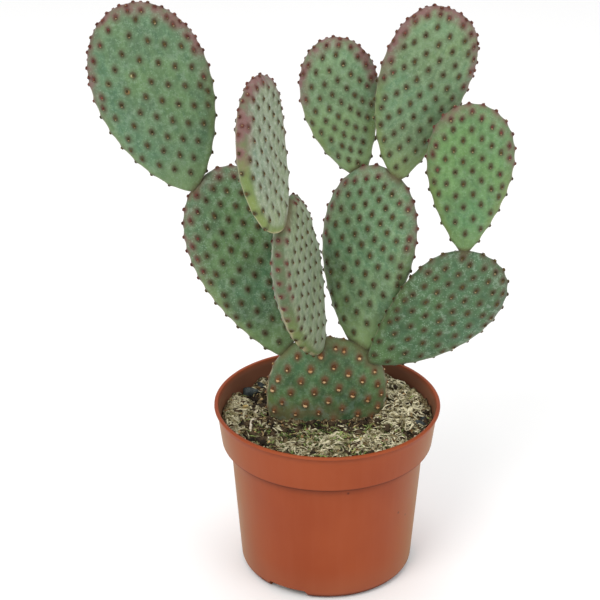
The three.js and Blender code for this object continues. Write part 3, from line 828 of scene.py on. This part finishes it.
def make_tufts(shape, spots, lifts, rng):
    """A dark cushion, a felt dot and short bristles at every areole, in one mesh."""
    bits = Bits()
    old = shape is BASE
    for (at, way, tipward, on_rim), lift in zip(spots, lifts):
        a, b = frame_at(way)
        v, u, _ = shape.flat(at)
        near_top = u > 0.55 * shape.length and shape.reach(v, u) * (1 - shape.share(v, u)) < 7
        hood = YOUNG_HOOD if near_top and shape.maroon else HOOD
        size = shape.tuft * rng.uniform(0.82, 1.18) * (0.88 + 0.26 * u / shape.length)
        if on_rim:
            size = 0.78 if old else 0.55 + 0.4 * size
            foot = at + way * (lift - 0.15)
            add_dome(bits, foot, way, tipward, 0.9 * size, 0.8 * size, rng, 9, hood, 1.15)
            stray = rng.normal(0, 0.25, 2) * size
            felt_at = foot + way * 0.45 * size + stray[0] * a + stray[1] * b
        else:
            foot = at + way * (lift - 0.12)
            hood_at = foot + 0.3 * tipward
            add_dome(bits, hood_at, way, tipward, 0.66 * size, 0.5 * size, rng, 9, hood, 1.3)
            felt_at = foot + way * 0.12 * size - 0.45 * size * tipward
        felt = shape.felt * size * rng.uniform(0.7, 1.3)
        add_dome(bits, felt_at, way, tipward, felt, 0.42 * size, rng, 7, FELT, 0.9)
        for k in range(BRISTLES):
            t = 2 * pi * (k + rng.uniform(-0.35, 0.35)) / BRISTLES
            side = cos(t) * a + sin(t) * b
            lean = unit(way + 0.45 * side + 0.2 * tipward)
            start = foot + rng.uniform(0.3, 0.7) * size * side
            end = start + lean * rng.uniform(0.7, 1.1) * size
            add_cone(bits, start, end, 0.13 * size, BRISTLE)
    bits.make(shape.name + "_areoles", OLD_TUFT if old else TUFT)


def make_pads():
    for number, shape in enumerate(SHAPES.values()):
        rng = np.random.default_rng(100 + number)
        spots = areoles_of(shape)
        lifts = make_skin(shape, spots, rng)
        make_tufts(shape, spots, lifts, rng)


make_pads()


# Pot


def wall_radius(z):
    if z > BAND_FOOT_Z:
        share = (z - BAND_FOOT_Z) / (POT_HEIGHT - LIP_HEIGHT - BAND_FOOT_Z)
        return BAND_FOOT_RADIUS + share * (BAND_TOP_RADIUS - BAND_FOOT_RADIUS)
    share = (z - FOOT_CORNER) / (BODY_TOP_Z - FOOT_CORNER)
    return BODY_FOOT_RADIUS + share * (BODY_TOP_RADIUS - BODY_FOOT_RADIUS)


def arc(x, z, wide, high, degrees):
    return [(x + wide * cos(a), z + high * sin(a)) for a in np.radians(degrees)]


def wall(heights, inset=0):
    return [(wall_radius(z) - inset, z) for z in heights]


def pot_rings():
    """Radius and height of the rings from the underside, up the outside and down the inside."""
    corner = BODY_FOOT_RADIUS - FOOT_CORNER
    step = BAND_FOOT_RADIUS - BODY_TOP_RADIUS
    rise = BAND_FOOT_Z - BODY_TOP_Z
    lip_foot = POT_HEIGHT - LIP_HEIGHT
    points = [(20, 0), (corner - 3, 0)]
    points += arc(corner, FOOT_CORNER, FOOT_CORNER, FOOT_CORNER, range(-90, 1, 10))
    points += wall(np.linspace(FOOT_CORNER, BODY_TOP_Z, 14)[1:-1])
    points.append((BODY_TOP_RADIUS, BODY_TOP_Z - 0.5))
    points += arc(BODY_TOP_RADIUS, BAND_FOOT_Z, step, -rise, range(90, -1, -10))
    points += wall(np.linspace(BAND_FOOT_Z, lip_foot - 0.3, 6)[1:])
    points += [(LIP_RADIUS + x, POT_HEIGHT + z) for x, z in LIP_ROUND]
    points += wall(np.linspace(lip_foot - 2, BAND_FOOT_Z + 1, 4), WALL)
    points.append((BODY_TOP_RADIUS - WALL, BODY_TOP_Z + 0.6))
    points += wall((40, FLOOR + 4), WALL)
    points.append((wall_radius(FLOOR + 4) - WALL - 1.2, FLOOR + 1.2))
    return points + [(corner - 0.6, FLOOR), (20, FLOOR)]


def turned(rings, sides):
    """Points of rings of given radius and height round the upright axis."""
    c, s = circle(sides)
    return np.vstack([np.hstack([r * c, r * s, np.full((sides, 1), z)]) for r, z in rings])


def make_pot():
    rings = pot_rings()
    verts = np.vstack([turned(rings, POT_SIDES), [(0, 0, 0), (0, 0, FLOOR)]])
    faces = closed_rings(len(rings), POT_SIDES)
    pot = make_object("pot_body", verts, faces, [pot_material()])
    cut_notches(pot)
    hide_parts("pot")


def cut_notches(pot):
    """Cuts the drain notches through the bottom corner."""
    w, h = NOTCH_WIDTH / 2, NOTCH_HEIGHT
    half = [(w, -2), (w, h * 0.5), (w - 0.5, h * 0.85), (w - 1.4, h)]
    outline = [(-w, -2), *half, *[(-x, z) for x, z in half[:0:-1]]]
    n = len(outline)
    bits = Bits()
    for angle in NOTCH_ANGLES:
        c, s = cos(radians(angle)), sin(radians(angle))
        points = [
            (r * c - x * s, r * s + x * c, z)
            for r in (NOTCH_INNER_RADIUS, LIP_RADIUS) for x, z in outline
        ]
        faces = [tuple(reversed(range(n))), tuple(range(n, 2 * n))]
        faces += [(k, (k + 1) % n, n + (k + 1) % n, n + k) for k in range(n)]
        bits.add(points, faces)
    cutter = placed("cutter", mesh_of("cutter", np.vstack(bits.verts), bits.faces))
    cut = pot.modifiers.new("notches", "BOOLEAN")
    cut.object = cutter
    cut.operation = "DIFFERENCE"
    cut.solver = "EXACT"
    ready = pot.evaluated_get(bpy.context.evaluated_depsgraph_get())
    shaped = bpy.data.meshes.new_from_object(ready)
    pot.modifiers.clear()
    pot.data = shaped
    bpy.data.objects.remove(cutter)
    shaped.shade_smooth()
    shaped.set_sharp_from_angle(angle=radians(40))


# Three tiny dark marks on the pot, low under the band and at the right.
POT_MARKS = ((11.2, -50.2, 68.6), (38, -31.9, 46), (42, -26, 41))


def pot_material():
    """Moulded terracotta-coloured satin plastic with faint upright flow marks, a dusty foot, painted
    sheen and shade.
    """
    s = Shader("pot_plastic")
    broad = s.noise(22, 3, 0.5)
    inputs = {"Vector": s.place, "Scale": (1.0, 1.0, 0.08)}
    flow = s.noise(190, 3, 0.6, s.add("Mapping", "Vector", inputs))
    s.start((broad, 0.35, 0.7), (139, 60, 25), (146, 67, 31))
    s.coat((150, 74, 42), (flow, 0.4, 0.7), 0.2)
    for at in POT_MARKS:
        s.coat((64, 30, 22), (s.distance_to(at), 0.0009, 0.0004), 0.7)
    # Painted sheen: a paler film towards the sides at a grazing angle, on the upright faces alone.
    normal = s.add("NewGeometry", "Normal")
    up = s.axis("Z", normal)
    upright = s.math("ABSOLUTE", up)
    s.coat((142, 108, 42), (s.facing(0.3), 0.2, 0.85), (upright, 0.3, 0.12), 0.6)
    # Soft painted shade under the band, on the greyer inside and underneath; a dusty foot.
    height = s.axis("Z")
    s.coat((94, 38, 18), (height, 0.0665, 0.0716), (height, 0.0722, 0.0716), 0.4)
    s.coat((150, 104, 78), (height, 0.022, 0.002), (broad, 0.3, 0.6, 0.6, 1), 0.22)
    inputs = {0: normal, 1: s.place}
    outward = s.add("VectorMath", "Value", inputs, operation="DOT_PRODUCT")
    s.coat((120, 82, 64), (outward, -0.015, -0.035), 0.85)
    under = s.span(up, -0.15, -0.7)
    s.coat((74, 28, 14), under, 0.8)
    normal = s.bump(s.noise(1600, 3, 0.6), 0.00006, 0.35)
    normal = s.bump(flow, 0.00015, 0.25, normal)
    gloss = s.math("ADD", s.span(broad, 0.3, 0.7, 0.4, 0.47), s.times(under, 0.5))
    return s.finish(gloss, normal, 0.2)


make_pot()


# Soil

# Heaps and hollows seen in the photo: place across and back, radius, height.
HEAPS = (
    (-51, 20, 6, 3), (-36, 38, 7, 1.6), (-44, 9, 6, 1.6), (2, -32, 13, 1.2), (43, 12, 12, 1.2),
    (44, -13, 6, 1.4), (35, 31, 7, 1.2), (-17, -37, 7, 0.8), (-28, -27, 6, 0.8), (25, -26, 8, 1),
    (-56, 3, 10, 2.8), (-53, -13, 9, 2.2),
)
HOLLOWS = (
    (-38, 23, 5, 2.2), (-30, 10, 4, 1.4), (-34, -17, 4, 1.6), (-44, -8, 4, 1.4), (-25, -17, 4, 1.4),
    (41, -21, 4.5, 1.8), (12, -38, 3.5, 1.6), (51, -5, 3.5, 1.6), (-45, 34, 6, 1),
    (27, -12, 4, 1.2), (-12, -25, 4, 1), (30, 16, 5, 0.8), (52, 10, 3, 1),
    (-16, -4, 9, 2), (1, -5, 10, 2.4), (18, -4, 9, 1.8),
)
SOIL_SIDES = 220
SOIL_RINGS = 64
SOIL_REACH = 54.6

# How far the litter keeps from the base pad, and how high it may lie.
SHRED_CLEAR = 0.6
SHRED_HEIGHT = 2.4
BUNCH_HEIGHT = 1.4
BUNCH_SPREAD = 1.6


def mounds(table, x, y):
    return sum(h * np.exp(-((x - a) ** 2 + (y - b) ** 2) / r**2) for a, b, r, h in table)


def soil_top(x, y):
    """The CAD's soil height with the photo's heaps and hollows, in millimetres."""
    mound = 2.6 * smooth(x, -10, 45)
    hollow = -3 * np.exp(-((x + 34) ** 2 + (y - 18) ** 2) / 260)
    heap = 1.4 * np.exp(-((x - 6) ** 2 + (y + 20) ** 2) / 500)
    lumps = 0.8 * np.sin(x * 0.41 + 1.3) * np.cos(y * 0.37 - 0.6)
    lumps = lumps + 0.6 * np.sin(x * 0.19 - y * 0.53)
    return SOIL_LEVEL + mound + hollow + heap + lumps + mounds(HEAPS, x, y) - mounds(HOLLOWS, x, y)


def peat_material():
    s = Shader("peat")
    clumps = s.noise(240, 5, 0.7)
    s.start((clumps, 0.36, 0.62), (38, 28, 19), (112, 94, 64))
    s.coat((176, 166, 130), (s.noise(800, 3, 0.7), 0.52, 0.62), 0.7)
    return s.finish(0.95, s.bump(clumps, 0.003, 1), 0.15)


def make_soil():
    """The soil body: a fine lumpy top on the CAD's filled form."""
    rng = np.random.default_rng(7)
    inset = WALL + FIT_GAP
    low = [
        (BODY_FOOT_RADIUS - FOOT_CORNER - 7, FLOOR + FIT_GAP),
        (wall_radius(FLOOR + 5) - inset - 0.4, FLOOR + 5),
        (BODY_TOP_RADIUS - inset - 0.2, BODY_TOP_Z + 0.6),
        (wall_radius(BAND_FOOT_Z + 1) - inset - 0.3, BAND_FOOT_Z + 1.6),
    ]
    widest = wall_radius(88) - inset - 0.4
    top = turned([(widest * (1 - k / SOIL_RINGS), 0) for k in range(SOIL_RINGS)], SOIL_SIDES)
    ground = top[:, :2]
    top[:, 2] = soil_top(ground[:, 0], ground[:, 1])
    for size, height in ((9, 0.7), (5, 0.6), (2.8, 0.4)):
        top[:, 2] += height * smooth_waves(ground, size, rng, 14)
    centre = [(0, 0, FLOOR + FIT_GAP), (0, 0, float(soil_top(0, 0)))]
    verts = np.vstack([turned(low, SOIL_SIDES), top, centre])
    faces = closed_rings(len(low) + SOIL_RINGS, SOIL_SIDES)
    soil = make_object("soil_body", verts, faces, [peat_material()])
    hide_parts("soil")


make_soil()


def paleness(x, y):
    """How much pale moss lies at a place: most on the heaps, little in the hollows."""
    pale = 0.4 + 0.36 * mounds(HEAPS, x, y) - 0.4 * mounds(HOLLOWS, x, y)
    pale += 0.34 * sin(x * 0.43 + 1.1) * sin(y * 0.47 + 0.4)
    pale += 0.34 * sin(x * 0.9 - y * 0.36 + 2) * sin(y * 0.84 + x * 0.22)
    pale += 0.3 * exp(-((x - 2) ** 2 / 500 + (y + 30) ** 2 / 160))
    pale += 0.3 * float(smooth(x, 10, 45)) - 0.12 * float(smooth(x, -15, -40))
    return min(max(0.12 + 1.5 * (pale - 0.3), 0.02), 1)


def darkness(x, y):
    return 1.02 - paleness(x, y)


def anywhere(x, y):
    return 0.7


def near_front(x, y):
    """The greener moss in front of the base pad."""
    return exp(-((x - 2) ** 2 / 800 + (y + 24) ** 2 / 200)) + 0.03


def near_tan(x, y):
    """Straw-coloured bits: at the left, and right of the middle in front."""
    left = exp(-((x + 44) ** 2 + (y - 8) ** 2) / 60)
    right = exp(-((x - 20) ** 2 + (y + 29) ** 2) / 60)
    return min(1, left + right + 0.12)


def scatter(count, rng, where, clear):
    """Random places on the soil that suit a density and keep clear of the base pad."""
    made = 0
    while made < count:
        r = SOIL_REACH * sqrt(rng.uniform(0, 1))
        a = rng.uniform(0, 2 * pi)
        x, y = r * cos(a), r * sin(a)
        if rng.uniform() > where(x, y):
            continue
        z = float(soil_top(x, y))
        if BASE.holds((x, y, z), clear):
            continue
        made += 1
        yield x, y, z


def ball(detail):
    """The points and triangles of a unit ball."""
    made = bmesh.new()
    bmesh.ops.create_icosphere(made, subdivisions=detail, radius=1)
    points = np.array([v.co[:] for v in made.verts])
    faces = [tuple(v.index for v in f.verts) for f in made.faces]
    made.free()
    return points, faces


COARSE_BALL = ball(1)
FINE_BALL = ball(2)


def add_lump(bits, at, size, rng, form, slot, stretch, rough):
    """An irregular lump."""
    points, faces = form
    out = 1 + rough * smooth_waves(points, 1.7, rng, 5)[:, None] * 0.6
    out += rough * 0.35 * rng.normal(size=(len(points), 1))
    turn = rng.uniform(0, 2 * pi)
    c, s = cos(turn), sin(turn)
    body = points * out * stretch * size @ np.array([[c, s, 0], [-s, c, 0], [0, 0, 1]])
    bits.add(body + at, faces, slot)


def add_tube(bits, path, radii, flatness, sides=4, slot=0):
    """A closed tube along a path, flattened across it."""
    path = np.asarray(path)
    c, s = circle(sides)
    rings = []
    for k, point in enumerate(path):
        way = path[min(k + 1, len(path) - 1)] - path[max(k - 1, 0)]
        a, b = frame_at(way / (np.linalg.norm(way) + 1e-9))
        rings.append(point + radii[k] * (c * a + flatness * s * b))
    faces = joined_rings(len(path), sides)
    last = (len(path) - 1) * sides
    faces += [tuple(reversed(range(sides))), tuple(range(last, last + sides))]
    bits.add(np.vstack(rings), faces, slot)


def bunched(places, rng, size):
    """Each place again and again, a little to the side and a little higher."""
    for x, y, z in places:
        for _ in range(size):
            a, b = rng.normal(0, BUNCH_SPREAD, 2)
            yield x + a, y + b, float(soil_top(x + a, y + b)) + rng.uniform(0, BUNCH_HEIGHT)


def make_shreds(name, count, seed, material, length, radius, where, bunch=0):
    """Curly shreds of moss strewn over the soil, singly or in bunches."""
    rng = np.random.default_rng(seed)
    bits = Bits()
    places = scatter(count, rng, where, SHRED_CLEAR)
    for x, y, z in bunched(places, rng, bunch) if bunch else places:
        heading = rng.uniform(0, 2 * pi)
        curl = rng.normal(0, 0.6)
        steps = int(rng.integers(3, 6))
        step = rng.uniform(*length) / steps
        z += rng.uniform(0.1, 1.2)
        rise = rng.uniform(-0.3, 0.5)
        path = []
        for _ in range(steps + 1):
            if hypot(x, y) > SOIL_REACH or BASE.holds((x, y, z), SHRED_CLEAR):
                break
            path.append((x, y, z))
            heading += curl + rng.normal(0, 0.4)
            rise += rng.normal(-0.12, 0.35)
            x += step * cos(heading)
            y += step * sin(heading)
            ground = float(soil_top(x, y))
            z = min(max(z + step * 0.6 * rise, ground + 0.1), ground + SHRED_HEIGHT)
        if len(path) < 3:
            continue
        thick = rng.uniform(*radius)
        t = np.linspace(-1, 1, len(path))
        add_tube(bits, path, thick * (1 - 0.6 * t**2), rng.uniform(0.4, 0.95))
    bits.make(name, [material])


def make_crumbs(name, count, seed, material, size, where, form=COARSE_BALL, flat=0.8):
    """Irregular grains or lumps on the soil."""
    rng = np.random.default_rng(seed)
    bits = Bits()
    for x, y, z in scatter(count, rng, where, 0.3 + size[1]):
        d = size[0] + (size[1] - size[0]) * rng.uniform() ** 2
        stretch = rng.uniform(0.65, 1.3, 3) * (1, 1, flat)
        pull = min(1, (SOIL_REACH + 1 - 1.4 * d) / hypot(x, y))
        at = (x * pull, y * pull, z + d * rng.uniform(0.0, 0.6))
        add_lump(bits, at, d, rng, form, 0, stretch, 0.4)
    bits.make(name, [material])


# Lumps that stand out in the photo: place across and back, size, material, stretch.
PEBBLE, STRAW_LUMP, GRAIN, CHIP = range(4)
LUMPS = (
    (-42, 29.5, 3.7, PEBBLE, (1.15, 0.8, 0.8)), (-36.4, 36, 2.4, PEBBLE, (1.2, 0.8, 0.6)),
    (51, -4, 2.4, PEBBLE, (0.7, 1.4, 0.6)), (48.5, -12, 2.6, PEBBLE, (0.8, 1.3, 0.5)),
    (-44.2, 9, 3, STRAW_LUMP, (1.1, 0.9, 0.6)), (18.3, -29.5, 2.2, STRAW_LUMP, (1.2, 0.8, 0.5)),
    (-29.7, -24.1, 1.9, GRAIN, (0.9, 1.1, 0.8)), (-38.4, 5.8, 1.3, GRAIN, (1, 1, 0.9)),
    (-10, -11.5, 1.7, CHIP, (0.6, 1.4, 0.5)), (30, -30, 1.5, CHIP, (1.3, 0.6, 0.5)),
)


def make_finds():
    """The things in the soil that stand out: the lumps and a stick."""
    rng = np.random.default_rng(51)
    bits = Bits()
    for x, y, size, slot, stretch in LUMPS:
        at = (x, y, float(soil_top(x, y)) + size * 0.45)
        add_lump(bits, at, size, rng, FINE_BALL, slot, stretch, 0.34)
    path = []
    for t in np.linspace(0, 1, 9):
        x, y = -37.6 - 2.6 * t - 1.2 * sin(pi * t), 1.4 - 17 * t
        path.append((x, y, float(soil_top(x, y)) + 1.2))
    radii = 0.95 * np.array([0.5, 0.9, 1, 1, 0.9, 0.8, 0.8, 0.7, 0.4])
    add_tube(bits, path, radii, 0.8, 6, GRAIN)
    materials = [
        grained("pebble_dark", (40, 46, 48), (74, 82, 82), 300, roughness=0.6),
        grained("lump_straw", (160, 128, 70), (214, 190, 122), 400),
        grained("grain_pale", (188, 172, 148), (226, 216, 196), 400),
        grained("chip_pink", (150, 104, 78), (206, 166, 138), 400),
    ]
    bits.make("soil_finds", materials)


PALE = grained("moss_pale", (118, 108, 72), (242, 234, 200), 260, left=0.4)
GREY = grained("moss_grey", (78, 74, 46), (198, 190, 146), 330, 2600, left=0.4)
STRAW = grained("moss_straw", (120, 94, 58), (200, 176, 130))
GREEN = grained("moss_green", (66, 82, 36), (164, 180, 108))
ROOT = grained("root_dark", (40, 30, 21), (80, 60, 42))
PEAT = grained("peat_crumb", (30, 24, 18), (82, 66, 48))
TAN = grained("tan_crumb", (132, 100, 64), (204, 170, 122))
make_crumbs("moss_clumps", 130, 41, GREY, (0.8, 2.4), paleness, FINE_BALL, 0.6)
make_shreds("moss_bunches", 110, 25, PALE, (3, 8), (0.3, 0.7), paleness, 13)
make_shreds("moss_pale", 1200, 21, PALE, (2, 6), (0.25, 0.65), paleness)
make_shreds("moss_straw", 500, 22, STRAW, (2, 8), (0.2, 0.5), anywhere)
make_shreds("moss_green", 900, 23, GREEN, (1.5, 5), (0.25, 0.6), near_front)
make_shreds("root_dark", 320, 24, ROOT, (3, 10), (0.2, 0.45), darkness)
make_crumbs("peat_crumbs", 1500, 31, PEAT, (0.6, 2.2), darkness)
make_crumbs("moss_crumbs", 2200, 32, PALE, (0.25, 1.05), paleness)
make_crumbs("tan_crumbs", 420, 33, TAN, (0.4, 1.3), near_tan)
make_finds()


# Stage and light

STAGE_REACH = 6000
LIGHT_AIM = (0, 0, 0.17)
WORLD_STRENGTH = 0.75


def make_stage():
    r = STAGE_REACH
    mesh = mesh_of("floor", [(-r, -r, 0), (r, -r, 0), (r, r, 0), (-r, r, 0)], [(0, 1, 2, 3)])
    s = Shader("floor")
    s.start(s.noise(3, 2), (248, 248, 248), (253, 253, 253))
    mesh.materials.append(s.finish(0.8, None, 0.1))
    floor = placed("floor", mesh)


def add_light(name, at, size, watts, colour=(1, 1, 1)):
    data = bpy.data.lights.new(name, "AREA")
    data.shape = "DISK"
    data.size = size
    data.energy = watts
    data.color = colour
    light = placed(name, data)
    light.location = at
    light.rotation_euler = (Vector(LIGHT_AIM) - Vector(at)).to_track_quat("-Z", "Y").to_euler()


def make_light():
    world = bpy.data.worlds.new("studio")
    bpy.context.scene.world = world
    world.use_nodes = True
    world.node_tree.nodes["Background"].inputs["Color"].default_value = (1, 1, 1, 1)
    world.node_tree.nodes["Background"].inputs["Strength"].default_value = WORLD_STRENGTH
    add_light("key", (-0.7, -1.1, 1.5), 1.0, 16, (1, 0.985, 0.96))
    add_light("fill", (1.2, -0.9, 0.9), 1.2, 6)
    add_light("top", (0, 0.4, 1.8), 1.2, 7)
    bpy.context.scene.view_settings.view_transform = "Standard"


make_stage()
make_light()
